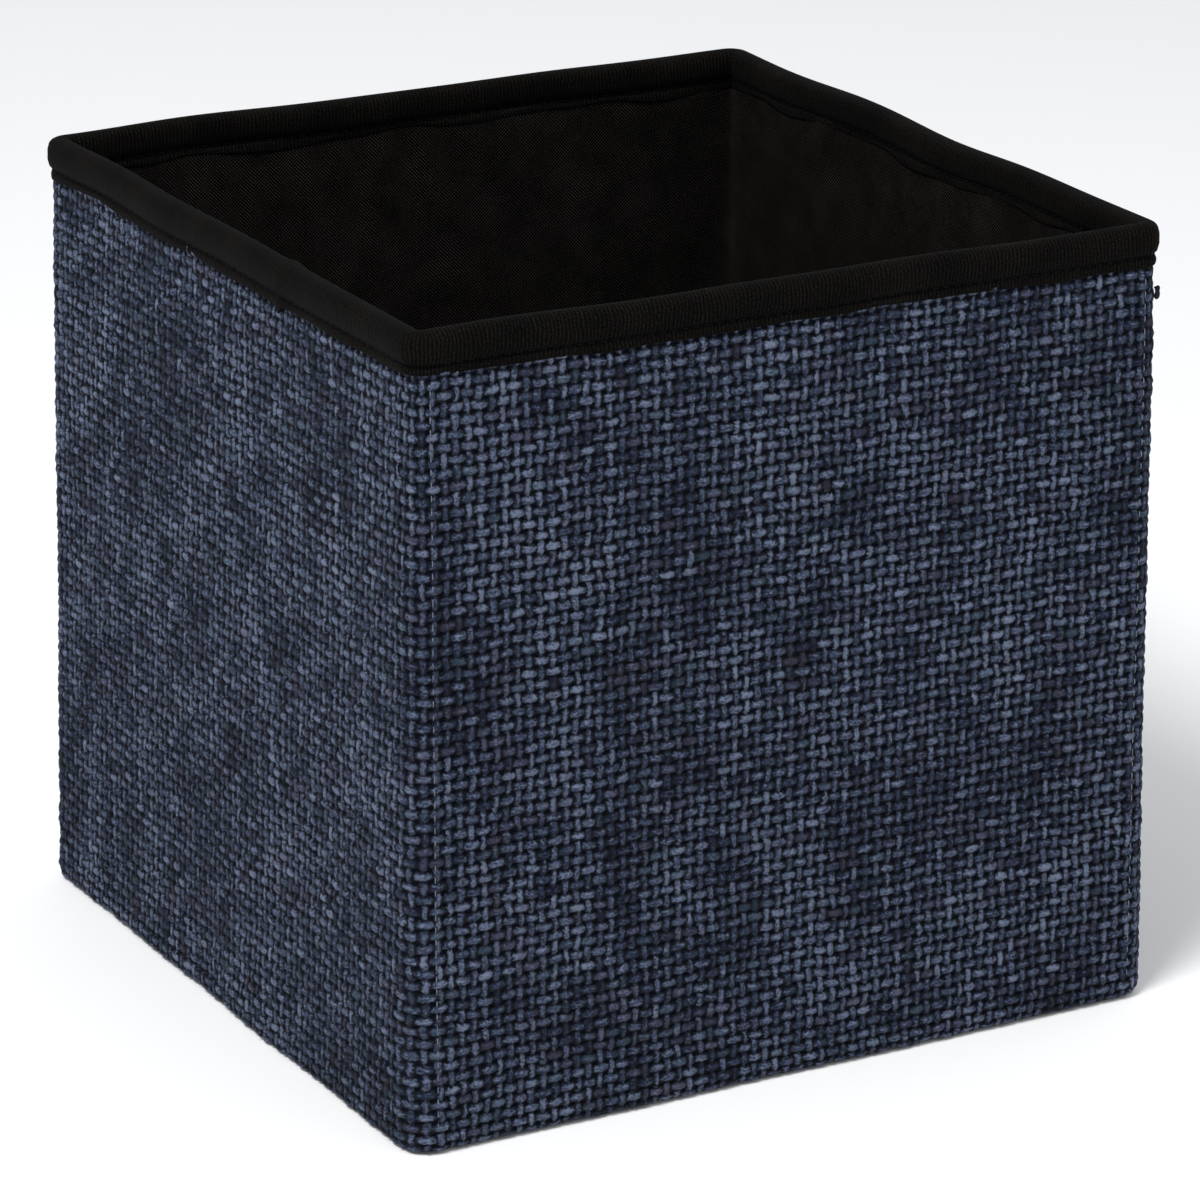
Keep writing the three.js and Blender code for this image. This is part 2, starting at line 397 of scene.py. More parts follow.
# Scales of the dye and of the fibres, along a yarn and across it, and of the specks, in yarns
DYE_ALONG, DYE_ACROSS = 0.24, 0.8
FIBRE_ALONG, FIBRE_ACROSS = 1.7, 5.5
SPECK = 4.6

# The cloth's colours from dark to light, the painted shade in the gaps between yarns, and the tints that
# some yarns have
CLOTH_TONES = (
    (0.05, (0.0021, 0.0038, 0.0118)),
    (0.35, (0.0104, 0.0158, 0.0350)),
    (0.58, (0.0318, 0.0438, 0.0800)),
    (0.80, (0.0740, 0.0955, 0.1520)),
    (1.00, (0.1440, 0.1730, 0.2500)),
)
GAP_SHADE_COLOR = (0.0012, 0.0021, 0.0066, 1)
BROWN, TEAL, PURPLE = (0.030, 0.020, 0.026, 1), (0.040, 0.072, 0.092, 1), (0.062, 0.054, 0.084, 1)


def weave_relief(across, up):
    """Height of the cloth, 0 to 1, at a place counted in yarns: weft pills with warp bits between."""
    i, j = np.floor(across), np.floor(up)
    warp_cell = np.mod(i + j, 2)
    au, av = np.abs(across - i - 0.5), np.abs(up - j - 0.5)
    du = np.where(warp_cell > 0, 1 - au, au)
    dv = np.where(warp_cell > 0, av, 1 - av)
    pill = np.clip(1 - (du / PILL_U) ** PILL_ENDS - (av / PILL_V) ** PILL_SIDES, 0, None) ** 0.5
    bit = np.clip(1 - (au / BIT_U) ** BIT_BLUNT - (dv / BIT_V) ** BIT_BLUNT, 0, None) ** 0.5 * BIT_HEIGHT
    return np.maximum(pill, bit)


def weave_nodes(n, across, up):
    """The same two heights in a material, with the pill and the bit that a place belongs to."""
    i, j = n.math("FLOOR", across), n.math("FLOOR", up)
    warp_cell = n.math("PINGPONG", n.add(i, j), 1.0)
    fu, fv = n.sub(n.sub(across, i), 0.5), n.sub(n.sub(up, j), 0.5)
    au, av = n.math("ABSOLUTE", fu), n.math("ABSOLUTE", fv)
    du = n.mix(au, n.sub(1.0, au), warp_cell)
    dv = n.mix(n.sub(1.0, av), av, warp_cell)
    pill = n.sub(1.0, n.power(n.mul(du, 1 / PILL_U), PILL_ENDS))
    pill = n.sub(pill, n.power(n.mul(av, 1 / PILL_V), PILL_SIDES))
    bit = n.sub(1.0, n.power(n.mul(au, 1 / BIT_U), BIT_BLUNT))
    bit = n.sub(bit, n.power(n.mul(dv, 1 / BIT_V), BIT_BLUNT))
    own_i = n.add(i, n.mul(warp_cell, n.math("SIGN", fu)))
    own_j = n.add(j, n.mul(n.sub(1.0, warp_cell), n.math("SIGN", fv)))
    return n.power(pill, 0.5), n.mul(n.power(bit, 0.5), BIT_HEIGHT), (own_i, j), (i, own_j)


def pushed_about(n, flat_u, flat_v):
    """Places in the weave, in yarns, after the noises have moved them."""
    across, up = flat_u, flat_v
    for look, (along_by, up_by), (layer, other_layer) in PUSHES:
        across = n.add(across, n.swing(n.noise(n.vector(flat_u, flat_v, layer), *look), along_by))
        up = n.add(up, n.swing(n.noise(n.vector(flat_v, flat_u, other_layer), *look), up_by))
    return across, up


def cloth_material():
    n = Nodes("chenille_weave")
    flat_u, flat_v = n.uv()
    across, up = pushed_about(n, flat_u, flat_v)
    pill, bit, of_pill, of_bit = weave_nodes(n, across, up)
    on_weft = n.step(n.sub(pill, bit), -0.05, 0.05)
    height = n.math("MAXIMUM", pill, bit)
    own = n.mix(n.white(n.vector(*of_bit, 8.0)), n.white(n.vector(*of_pill, 3.0)), on_weft)
    weft_dye = n.drawn(of_pill, DYE_ALONG, DYE_ACROSS, 3.0)
    warp_dye = n.drawn(of_bit, DYE_ACROSS, DYE_ALONG, 8.0)
    along_weft = n.drawn((across, up), FIBRE_ALONG, FIBRE_ACROSS, detail=3.0, rough=0.8)
    along_warp = n.drawn((across, up), FIBRE_ACROSS, FIBRE_ALONG, detail=3.0, rough=0.8)
    x, y, z = n.split(n.place())
    causes = {
        "own": own,
        "fibre": n.mix(along_warp, along_weft, on_weft),
        "speck": n.drawn((across, up), SPECK, SPECK, 2.0, 3.0, 0.85),
        "dye": n.mix(warp_dye, weft_dye, on_weft),
        "patch": n.noise(n.vector(x, y, n.mul(z, 0.5)), 42.0, 2.0, 0.6),
        "cloud": n.noise(n.vector(x, y, z), 13.0, 1.0, 0.5),
    }
    tone = n.total(*(n.swing(causes[cause], share) for cause, share in TONE_SHARES.items()))
    # Painted shade: the tone falls with the weave's height, darker down between the yarns and lighter on
    # their tops
    tone = n.total(tone, n.swing(height, HEIGHT_SHADE_SHARE, RELIEF_LEVEL), TONE_LEVEL)
    color = n.ramp(tone, *CLOTH_TONES)
    hue = n.noise(n.vector(flat_u, flat_v, 5.0), 0.5, 1.0)
    cast = n.noise(n.vector(*of_pill, 31.0), 0.7, 1.0)
    for noise, low, high, share, tint in (
        (hue, 0.58, 0.78, 0.4, BROWN),
        (cast, 0.56, 0.70, 0.30, TEAL),
        (cast, 0.44, 0.30, 0.28, PURPLE),
    ):
        color = n.tint(color, n.mul(n.step(noise, low, high), share), tint)
    # Painted shade: where the weave lies low, between pills and bits, the colour goes over to the
    # near-black gap shade
    color = n.tint(GAP_SHADE_COLOR, n.step(height, 0.36, 0.92), color)
    relief = n.total(n.mul(height, 0.6), n.mul(causes["fibre"], 0.25), n.mul(causes["speck"], 0.15))
    n.shader.inputs["Sheen Weight"].default_value = 0.04
    n.shader.inputs["Sheen Roughness"].default_value = 0.5
    n.shader.inputs["Specular IOR Level"].default_value = 0.06
    return n.finish(Base_Color=color, Roughness=0.9, Normal=n.bump(relief, 1.0, 1.5 * MM))


def tape_material():
    n = Nodes("ribbed_knit_tape")
    along, down = n.uv()
    wander = n.drawn((along, down), 0.12, 0.10, rough=0.5)
    rib = n.math("SINE", n.mul(n.add(along, n.swing(wander, 1.8)), 2 * math.pi))
    rib = n.add(n.mul(rib, 0.5), 0.5)
    worn = n.drawn((along, down), 0.25, 0.5, 5.0)
    knit = n.drawn((along, down), 1.6, 1.4, detail=3.0, rough=0.7)
    cloud = n.noise(n.place(), 40.0, 2.0, 0.6)
    # Painted shade between the ribs: the tone follows the ribs, lighter on their crests and darker between
    # them; worn sets how strongly, from place to place along the tape
    tone = n.total(n.swing(rib, n.mul(worn, 0.8)), n.swing(knit, 1.9), n.swing(cloud, 0.5), 0.47)
    # Painted shade in the stitch groove: the tone is darker within about a millimetre of the stitch line
    above = n.sub(n.split(n.place())[2], STITCH_Z)
    groove = n.sub(1.0, n.step(n.math("ABSOLUTE", above), 0.2 * MM, 1.1 * MM))
    tone = n.sub(tone, n.mul(groove, 0.3))
    color = n.ramp(
        tone,
        (0.15, (0.0005, 0.0005, 0.0005)),
        (0.50, (0.0026, 0.0022, 0.0019)),
        (0.85, (0.0088, 0.0076, 0.0064)),
    )
    relief = n.add(n.mul(rib, 0.5), n.mul(knit, 0.5))
    n.shader.inputs["Sheen Weight"].default_value = 0.008
    n.shader.inputs["Sheen Roughness"].default_value = 0.4
    n.shader.inputs["Specular IOR Level"].default_value = 0.03
    return n.finish(Base_Color=color, Roughness=0.85, Normal=n.bump(relief, 0.7, 0.4 * MM))


def lining_material(name, lift=1.0):
    """Black non-woven cloth with pressed dots that carry a painted highlight; lift makes it lighter."""
    n = Nodes(name)
    across, up = n.uv()
    rising, falling = (n.mul(way, math.pi) for way in (n.add(across, up), n.sub(across, up)))
    dots = n.mul(n.math("SINE", rising), n.math("SINE", falling))
    dots = n.step(n.math("ABSOLUTE", dots), 0.25, 0.8)
    fibre = n.drawn((across, up), 2.5, 2.5, detail=3.0, rough=0.7)
    cloud = n.noise(n.place(), 60.0, 3.0, 0.6)
    # Painted highlight: the pressed dots are made much lighter than the cloth round them, for the glint
    # off their pressed faces
    tone = n.total(n.mul(dots, 0.62), n.swing(fibre, 0.7), n.swing(cloud, 0.35))
    stops = (
        (0.16, (0.0005, 0.0004, 0.0003)),
        (0.47, (0.0047, 0.0039, 0.0034)),
        (0.78, (0.0520, 0.0440, 0.0400)),
    )
    color = n.ramp(tone, *((at, tuple(part * lift for part in shade)) for at, shade in stops))
    relief = n.add(n.mul(dots, 0.6), n.mul(fibre, 0.4))
    n.shader.inputs["Specular IOR Level"].default_value = 0.03
    return n.finish(Base_Color=color, Roughness=0.78, Normal=n.bump(relief, 0.5, 0.2 * MM))


def thread_material(name, dark, light):
    n = Nodes(name)
    twist = n.noise(n.place(), 2600.0, 2.0, 0.6)
    color = n.ramp(twist, (0.3, dark), (0.7, light))
    n.shader.inputs["Specular IOR Level"].default_value = 0.1
    return n.finish(Base_Color=color, Roughness=0.7, Normal=n.bump(twist, 0.4, 0.1 * MM))


def board_material():
    n = Nodes("grey_board")
    pulp = n.noise(n.place(), 900.0, 4.0, 0.7)
    cloud = n.noise(n.place(), 60.0, 3.0, 0.6)
    tone = n.add(n.mul(pulp, 0.6), n.mul(cloud, 0.4))
    color = n.ramp(tone, (0.3, (0.16, 0.125, 0.085)), (0.7, (0.30, 0.25, 0.18)))
    return n.finish(Base_Color=color, Roughness=0.92, Normal=n.bump(pulp, 0.3, 0.2 * MM))


CLOTH = cloth_material()
TAPE = tape_material()
LINING = lining_material("spunbond_lining")
COVER = lining_material("insert_cover_cloth", 1.15)
BOARD = board_material()
THREAD = thread_material("rim_thread", (0.0004, 0.0004, 0.0004), (0.0018, 0.0017, 0.0016))
SEAM_THREAD = thread_material("seam_thread", (0.05, 0.06, 0.08), (0.22, 0.25, 0.30))
YARN_END = thread_material("loose_yarn", (0.002, 0.003, 0.008), (0.012, 0.015, 0.028))

# ------------------------------------------------------------------ pieces

OPEN_CORNER = RIGHT_MID + CORE_Y + ARC / 2

# Each wall's start and end round the bin, with its bodies; each corner's start, with its two bodies
WALLS = {
    "front": (-CORE_X + OVERHANG, CORE_X - OVERHANG, ("front_wall",)),
    "right": (RIGHT_MID - CORE_Y + OVERHANG, OPEN_CORNER, ("right_front_half", "right_back_half")),
    "back": (OPEN_CORNER, BACK_MID + CORE_X - OVERHANG, ("back_wall",)),
    "left": (
        LEFT_MID - CORE_Y + OVERHANG, LEFT_MID + CORE_Y - OVERHANG, ("left_back_half", "left_front_half")),
}
CORNERS = {
    "front_right": (CORE_X, ("front_wall", "right_front_half")),
    "back_left": (BACK_MID + CORE_X, ("back_wall", "left_back_half")),
    "front_left": (-CORE_X - ARC, ("left_front_half", "front_wall")),
}
CREASES = {"right": RIGHT_MID, "left": LEFT_MID}
CREASE_HALF = 0.3 * MM

# How a yarn strays: in thickness, along the wall and up it, and within what distance of a crease or of
# the foot it is calmer
PLY_SWELL, YARN_ASIDE, YARN_RISE = 0.16, 0.35 * MM, 0.45 * MM
CREASE_CALM, FOOT_CALM = 5 * MM, 14 * MM

# The weave's UVs are moved by whole yarns, so that no cell's number is negative
UV_SHIFT = (400, 60)

# Lining: the pitch of its dots and the steps of its mesh, round the bin and up it
DOT_PITCH = 1.45 * MM
LINING_STEP, LINING_ROW = 2.5 * MM, 4 * MM


def yarn_steps(start, end, pitch, parts, origin=0.0):
    """Places from start to end that fall at the same parts of every yarn."""
    count = np.arange(math.floor((start - origin) / pitch), math.ceil((end - origin) / pitch) + 1)
    every = (count[:, None] + np.array(parts)).ravel() * pitch + origin
    inner = every[(every > start + pitch / 20) & (every < end - pitch / 20)]
    return np.concatenate([[start], inner, [end]])


def off_crease(s):
    """Distance to the nearest crease."""
    return np.min([np.abs(s - crease) for crease in CREASES.values()], axis=0)


def parted(s):
    """The same places, with one on each side of a crease, so that each goes with its own half wall."""
    for crease in CREASES.values():
        if s[0] < crease < s[-1]:
            away = s[np.abs(s - crease) > 2 * CREASE_HALF]
            s = np.sort(np.concatenate([away, [crease - CREASE_HALF, crease + CREASE_HALF]]))
    return s


def cloth_mesh(name, s, v, z, depth, bend=0.0, weight=1.0, flip=False):
    """Woven cloth: columns at s, rows at v up the cloth, each row at its height, depth and bend."""
    s, v = np.meshgrid(s, v)
    by_row = (np.broadcast_to(np.asarray(a, float), len(v))[:, None] for a in (z, depth, bend, weight))
    z, depth, bend, weight = by_row
    across, up = s / WARP, (v - SEAM_Z) / WEFT
    plump = 1 + PLY_SWELL * wobble(PLY_WAVES, s, v)
    raised = (weave_relief(across, up) * plump - RELIEF_LEVEL) * RELIEF * weight
    aside = YARN_ASIDE * wobble(SIDE_WAVES, s, v) * smooth(off_crease(s) / CREASE_CALM)
    rise = YARN_RISE * wobble(ROW_WAVES, s, v) * smooth((v - SEAM_Z) / FOOT_CALM)
    out = raised * np.cos(bend)
    height = np.maximum(z + rise - raised * np.sin(bend), 0.0)
    points = place(s + aside, depth - out, height).reshape(-1, 3)
    uv = np.stack([across + UV_SHIFT[0], up + UV_SHIFT[1]], -1).reshape(-1, 2)
    return add_mesh(name, points, grid_faces(len(v), s.shape[1], flip=flip), CLOTH, uv)


# The cloth's foot is turned in by TUCK, and its top is hidden under the tape
TUCK = np.array([6.0, 3.0]) * MM
CLOTH_TOP = TAPE_Z + 2.6 * MM
CLOTH_FACE = CLOTH_IN + 0.3 * MM

# Tape: rib pitch, height of its roll over the rim, thickness of each side, step of its mesh
RIB = 1.55 * MM
ROLL = 3.6 * MM
TAPE_THICK = 2.1 * MM
TAPE_STEP = 2.4 * MM

# How uneven the tape is: its free edges up and down, outside and inside, and in and out; its roll; its rim
FLAP_DROP, INNER_DROP, FLAP_CURL = 0.5 * MM, 0.85 * MM, 0.35 * MM
ROLL_PUFF, RIM_DIP = 0.22 * MM, 0.5 * MM


def wall_cloth(name, start, end, tucked=0.0):
    """A wall's cloth with its foot turned in; tucked is how far it lies behind the face."""
    s = parted(yarn_steps(start, end, WARP, WARP_PARTS))
    rows = yarn_steps(WALL_Z, CLOTH_TOP, WEFT, WEFT_PARTS, SEAM_Z)
    face, foot = np.ones(len(rows)), np.ones(len(TUCK))
    return cloth_mesh(
        name,
        s,
        np.concatenate([WALL_Z - TUCK, rows]),
        np.concatenate([WALL_Z * foot, rows]),
        np.concatenate([CLOTH_IN + TUCK, CLOTH_FACE * face]) + tucked,
        weight=np.concatenate([0 * foot, face]),
    )


def tape_profile():
    """The tape's outline as [depth, height, looseness]: up outside, over the rim, down and back inside."""
    crest = TOP - 0.3 * MM
    outside = [
        (CLOTH_IN + 0.3 * MM, TAPE_Z + 0.3 * MM, 1.0),
        (1.30 * MM, TAPE_Z, 1.0),
        (1.00 * MM, TAPE_Z + 0.7 * MM, 0.9),
        (0.95 * MM, TAPE_Z + 2.0 * MM, 0.5),
        (1.25 * MM, STITCH_Z - 0.6 * MM, 0.1),
        (1.50 * MM, STITCH_Z, 0.0),
        (1.15 * MM, STITCH_Z + 0.6 * MM, 0.0),
        (0.30 * MM, STITCH_Z + 1.6 * MM, 0.0),
        (-0.35 * MM, STITCH_Z + 3.8 * MM, 0.0),
        (-0.35 * MM, crest - 4.4 * MM, 0.0),
    ]
    turns = [math.pi * k / 12 for k in range(1, 12)]
    over = [
        (RIM_MIDDLE * (1 - math.cos(a)), crest - ROLL * (1 - math.sin(a) ** 0.75), 0.0)
        for a in turns
    ]
    inside = [(RIM_END - depth - 0.25 * MM, z, loose * 1.25) for depth, z, loose in reversed(outside)]
    under = crest - TAPE_THICK - 2.5 * MM
    near = TAPE_THICK + 0.2 * MM
    far = RIM_END - near
    hollow = [(far, STITCH_Z, 0.0), (far, under, 0.0), (near, under, 0.0), (near, STITCH_Z, 0.0)]
    return np.array(outside + over + inside + hollow)


TAPE_PROFILE = tape_profile()


def tape_points(s, depth, z, loose):
    """The tape's own softness: a wavy free edge, a fuller or thinner roll, and a rim that dips."""
    inner = depth > RIM_MIDDLE
    side, phase = np.where(inner, -1.0, 1.0), np.where(inner, 0.4, 0.0)
    drop = loose * np.where(inner, INNER_DROP, FLAP_DROP) * wobble(FLAP_WAVES, s, phase)
    curl = loose * side * FLAP_CURL * wobble(FLAP_WAVES, s, 0.9 + phase)
    puff = side * (1 - loose) * ROLL_PUFF * wobble(RIM_WAVES, s, z * 3)
    dip = RIM_DIP * wobble(RIM_WAVES, s, 0.0)
    return place(s, depth - puff - curl, z + dip + drop)


def tape_mesh(name, s, profile, swell=0.0, hang=0.0):
    """Tape along s; swell makes it stand proud and hang lets its outer free edge down."""
    depth, z, loose = (profile[:, k][:, None] for k in range(3))
    s_grid = np.broadcast_to(s, (len(depth), len(s)))
    outer = depth < RIM_MIDDLE
    depth = depth - swell * (1 - depth / RIM_MIDDLE)
    z = z + swell * smooth((z - STITCH_Z) / (TOP - STITCH_Z)) - hang * loose * outer
    points = tape_points(s_grid, *np.broadcast_arrays(depth, z, loose, s_grid)[:3])
    length = np.concatenate([[0], np.cumsum(np.hypot(*np.diff(profile[:, :2], axis=0).T))])
    uv = np.stack(np.broadcast_arrays(s[None] / RIB, length[:, None] / MM), -1).reshape(-1, 2)
    faces = grid_faces(len(profile), len(s), wrap=True)
    return add_mesh(name, points.reshape(-1, 3), faces, TAPE, uv, ring_caps(len(profile), len(s)))


def wall_tape(name, start, end):
    return tape_mesh(name, parted(steps(start, end, TAPE_STEP)), TAPE_PROFILE)


# The lining is softly uneven. How far before the open corner it ripples most, and how much there
LINING_SOFT = 0.3 * MM
PULL_AT, PULL_RIPPLE = 22 * MM, 0.45 * MM


def wall_lining(name, start, end):
    """A wall's lining, softly uneven, with a few upright ripples near the open corner."""
    s, z = np.meshgrid(parted(steps(start, end, LINING_STEP)), steps(WALL_Z, STITCH_Z, LINING_ROW))
    ripple = LINING_SOFT * wobble(SOFT_WAVES, s, z * 0.6 + 0.3)
    before = OPEN_CORNER - s
    pull = np.exp(-np.abs(before - PULL_AT) / PULL_AT) * smooth((before - 12 * MM) / (8 * MM))
    ripple = ripple + PULL_RIPPLE * pull * wobble(PLY_WAVES, s, z * 0.04)
    points = place(s, LINING_END - 0.2 * MM - ripple, z).reshape(-1, 3)
    uv = np.stack([s, z], -1).reshape(-1, 2) / DOT_PITCH
    return add_mesh(name, points, grid_faces(*s.shape, flip=True), LINING, uv)


def tube(name, path, radius, sides, material):
    """A yarn or thread: a closed tube along points, thinner at its ends."""
    path = np.asarray(path, float)
    ahead = np.gradient(path, axis=0)
    ahead /= np.linalg.norm(ahead, axis=1)[:, None]
    unlike_any_path = (0.31, 0.52, 0.79)
    side = np.cross(ahead, unlike_any_path)
    side /= np.linalg.norm(side, axis=1)[:, None]
    up = np.cross(ahead, side)
    t = np.linspace(-1, 1, len(path))
    thick = radius * np.sqrt(np.clip(1 - t**8, 0.05, 1))[:, None, None]
    angle = (np.arange(sides) * 2 * math.pi / sides)[None, :, None]
    rings = path[:, None] + thick * (side[:, None] * np.cos(angle) + up[:, None] * np.sin(angle))
    points = rings.transpose(1, 0, 2).reshape(-1, 3)
    faces = grid_faces(sides, len(path), wrap=True)
    return add_mesh(name, points, faces, material, caps=ring_caps(sides, len(path)))


def stitches(name, spots, ahead, side, up, material, length, radius):
    """Short thread loops: each lies at a spot along its own directions, its ends sunk in the cloth."""
    rings, sides = 7, 6
    t = np.linspace(-1, 1, rings)
    rise = radius * 1.6 * (1 - np.abs(t) ** 2.6) - radius * 0.9
    thick = radius * (0.45 + 0.55 * (1 - t**4))
    angle = np.arange(sides) * 2 * math.pi / sides
    along = np.broadcast_to((t * length / 2)[:, None], (rings, sides))
    across = thick[:, None] * np.cos(angle)
    above = rise[:, None] + thick[:, None] * np.sin(angle)
    points = spots[:, None, None, :]
    for amount, direction in ((along, ahead), (across, side), (above, up)):
        points = points + amount[None, ..., None] * direction[:, None, None, :]
    ring, k = np.arange(rings - 1)[:, None] * sides, np.arange(sides)
    after = (k + 1) % sides
    one = np.stack([ring + k, ring + after, ring + sides + after, ring + sides + k], -1).reshape(-1, 4)
    first = np.arange(len(spots)) * rings * sides
    faces = (first[:, None, None] + one).reshape(-1, 4)
    start_cap, end_cap = np.arange(sides)[::-1], (rings - 1) * sides + np.arange(sides)
    caps = np.concatenate([first[:, None] + start_cap, first[:, None] + end_cap])
    return add_mesh(name, points.reshape(-1, 3), faces, material, caps=caps)


STITCH_PITCH, STITCH_LENGTH, STITCH_R = 4.6 * MM, 3.3 * MM, 0.28 * MM
STITCH_DEPTH = 1.55 * MM


def rim_stitches(name, start, end, depth, outward):
    """The stitches that hold the tape, along its groove; outward is 1 outside and -1 inside."""
    count = np.arange(math.ceil(start / STITCH_PITCH), math.floor(end / STITCH_PITCH) + 1)
    s = count * STITCH_PITCH
    s = s[(s > start + STITCH_PITCH / 3) & (s < end - STITCH_PITCH / 3)]
    s = s[off_crease(s) > STITCH_PITCH / 2]
    level = np.full(len(s), STITCH_Z + 0.1 * MM)
    here, beyond = (tape_points(s + d, np.full(len(s), depth), level, 0 * s) for d in (0, 0.5 * MM))
    ahead = (beyond - here) / np.linalg.norm(beyond - here, axis=1)[:, None]
    _, _, nx, ny = plan(s)
    up = np.stack([nx, ny, 0 * s], -1) * outward
    return stitches(name, here, ahead, np.cross(up, ahead), up, THREAD, STITCH_LENGTH, STITCH_R)


def ride_wall(ob, wall):
    """Makes a wall piece go with its wall's one body; a side wall's piece, whose wall has two, only has
    its transform baked.
    """
    bodies = WALLS[wall][2]
    if len(bodies) == 1:
        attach(ob, bodies[0])
        return
    a, b = (Vector(place(CREASES[wall] + k * CREASE_HALF * 0.6, 0.0, 0.0)) for k in (-1, 1))
    a.x = b.x = 0.0
    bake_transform(ob)


def ride_corner(ob, corner, depth):
    """Bakes a corner piece's transform; it is not made to go with either wall. depth is that of the layer
    it belongs to.
    """
    start, bodies = CORNERS[corner]
    a, b = (tuple(Vector(place(s, depth, TOP / 2))) for s in (start - OVERHANG, start + ARC + OVERHANG))
    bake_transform(ob)


def make_walls(tabs):
    for wall, (start, end, bodies) in WALLS.items():
        nodes = [wall] if len(bodies) == 1 else [f"{wall}_front", f"{wall}_back"]
        cloth = wall_cloth(f"{wall}_cloth", start, end)
        tape = wall_tape(f"{wall}_tape", start, end)
        lining = wall_lining(f"{wall}_inner_lining", start, end)
        outer = rim_stitches(f"{wall}_outer_stitches", start, end, STITCH_DEPTH, 1)
        inner = rim_stitches(f"{wall}_inner_stitches", start, end, RIM_END - STITCH_DEPTH, -1)
        for ob in (cloth, tape, lining, outer, inner):
            ride_wall(ob, wall)
        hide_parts(*[f"{node}_outer_fabric" for node in nodes])
        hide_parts(*[f"{node}_binding" for node in nodes])
        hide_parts(*[f"{node}_lining" for node in nodes])
        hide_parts(*[f"{node}_rim_thread" for node in nodes])


def make_corners():
    for corner, (first, _) in CORNERS.items():
        start, end = first - OVERHANG, first + ARC + OVERHANG
        cloth = wall_cloth(f"{corner}_corner_cloth", start, end)
        tape = wall_tape(f"{corner}_corner_tape", start, end)
        lining = wall_lining(f"{corner}_corner_lining", start, end)
        ride_corner(cloth, corner, CLOTH_IN)
        ride_corner(tape, corner, RIM_MIDDLE)
        ride_corner(lining, corner, LINING_END)


def make_open_corner_tabs():
    """At the corner whose two edges part on folding, each edge goes on a little behind the other."""
    narrow = 0.72
    slim = TAPE_PROFILE * (narrow, 1, 1) + ((1 - narrow) * RIM_MIDDLE, 0, 0)
    slim[:, 1] -= 0.8 * MM * smooth((slim[:, 1] - STITCH_Z) / (TOP - STITCH_Z))
    tabs = {}
    for name, side, tuck, body in (
        ("back", -1, 2.6 * MM, "back_wall"),
        ("right", 1, 4.0 * MM, "right_back_half"),
    ):
        start, end = sorted((OPEN_CORNER - side * 0.5 * MM, OPEN_CORNER + side * ARC / 2))
        cloth = wall_cloth(f"{name}_edge_tab_cloth", start, end, tuck)
        tape = tape_mesh(f"{name}_edge_tab_tape", steps(start, end, 1.5 * MM), slim)
        for ob, slot in ((cloth, "outer_fabric"), (tape, "binding")):
            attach(ob, body)
        tabs[name] = [cloth, tape]
    return tabs


def along_wall(section, low, high):
    """The stretch round the bin that a CAD section's box covers."""
    wall = section.split("_")[0]
    if wall == "front":
        return low.x, high.x
    if wall == "right":
        return RIGHT_MID + low.y, RIGHT_MID + high.y
    if wall == "back":
        return BACK_MID - high.x, BACK_MID - low.x
    return LEFT_MID - high.y, LEFT_MID - low.y


def make_boards():
    """The boards between cloth and lining, leaning with the walls."""
    worn, top, coarse_step = 0.35 * MM, STITCH_Z + 6 * MM, 12 * MM
    for body, nodes in frame["record"]["behaviour"]["bodies"].items():
        for node in [n for n in nodes if n.endswith("_stiffener")]:
            low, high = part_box(node)
            start, end = along_wall(node, low, high)
            rows = steps(low.z + worn, top - worn, coarse_step)
            ring = [(BOARD_IN, level) for level in rows]
            ring += [(BOARD_IN + worn, top), (BOARD_END - worn, top)]
            ring += [(BOARD_END, level) for level in rows[::-1]]
            ring += [(BOARD_END - worn, low.z), (BOARD_IN + worn, low.z)]
            depth, z = np.array(ring).T
            s = steps(start, end, coarse_step)
            points = place(s[None], depth[:, None], z[:, None]).reshape(-1, 3)
            faces = grid_faces(len(ring), len(s), wrap=True)
            ob = add_mesh(f"{node}_board", points, faces, BOARD, caps=ring_caps(len(ring), len(s)))
            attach(ob, body)
            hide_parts(node)


PANEL_CORNER_R = 4 * MM


def rounded_panel(name, half_x, half_y, corner, level, edge, material, pitch, flip=False):
    """A sheet with round corners; edge carries it on past its rim as (inset, height) steps."""
    lines = []
    for half in (half_x, half_y):
        inner = steps(-half + corner, half - corner, 8 * MM)
        bend = np.linspace(0, corner, 5)
        lines.append(np.concatenate([-half + bend[:-1], inner, half - bend[-2::-1]]))
    x, y = np.meshgrid(*lines)
    a = np.clip((np.abs(x) - half_x + corner) / corner, 0, 1)
    b = np.clip((np.abs(y) - half_y + corner) / corner, 0, 1)
    x = x + np.sign(x) * corner * a * (np.sqrt(1 - b * b / 2) - 1)
    y = y + np.sign(y) * corner * b * (np.sqrt(1 - a * a / 2) - 1)
    rows, cols = x.shape
    points = np.stack([x, y, level(x, y)], -1).reshape(-1, 3)
    uv = np.stack([x, y], -1).reshape(-1, 2) / pitch
    loop = np.concatenate([
        np.arange(cols - 1),
        np.arange(rows - 1) * cols + cols - 1,
        (rows - 1) * cols + np.arange(cols - 1, 0, -1),
        np.arange(rows - 1, 0, -1) * cols,
    ])
    rim = points[loop]
    core = np.clip(rim[:, :2], (-half_x + corner, -half_y + corner), (half_x - corner, half_y - corner))
    normal = (rim[:, :2] - core) / np.linalg.norm(rim[:, :2] - core, axis=1)[:, None]
    faces, last, run = [grid_faces(rows, cols)], loop, 0.0
    before = np.array((0.0, rim[0, 2]))
    for inset, z in edge:
        run += math.hypot(inset - before[0], z - before[1])
        before = np.array((inset, z))
        ring = np.column_stack([rim[:, :2] - normal * inset, np.full(len(rim), z)])
        new = len(points) + np.arange(len(loop))
        points = np.concatenate([points, ring])
        uv = np.concatenate([uv, (rim[:, :2] + normal * run) / pitch])
        faces.append(np.stack([last, new, np.roll(new, -1), np.roll(last, -1)], -1))
        last = new
    faces = np.concatenate(faces)
    return add_mesh(name, points, faces[:, ::-1] if flip else faces, material, uv)


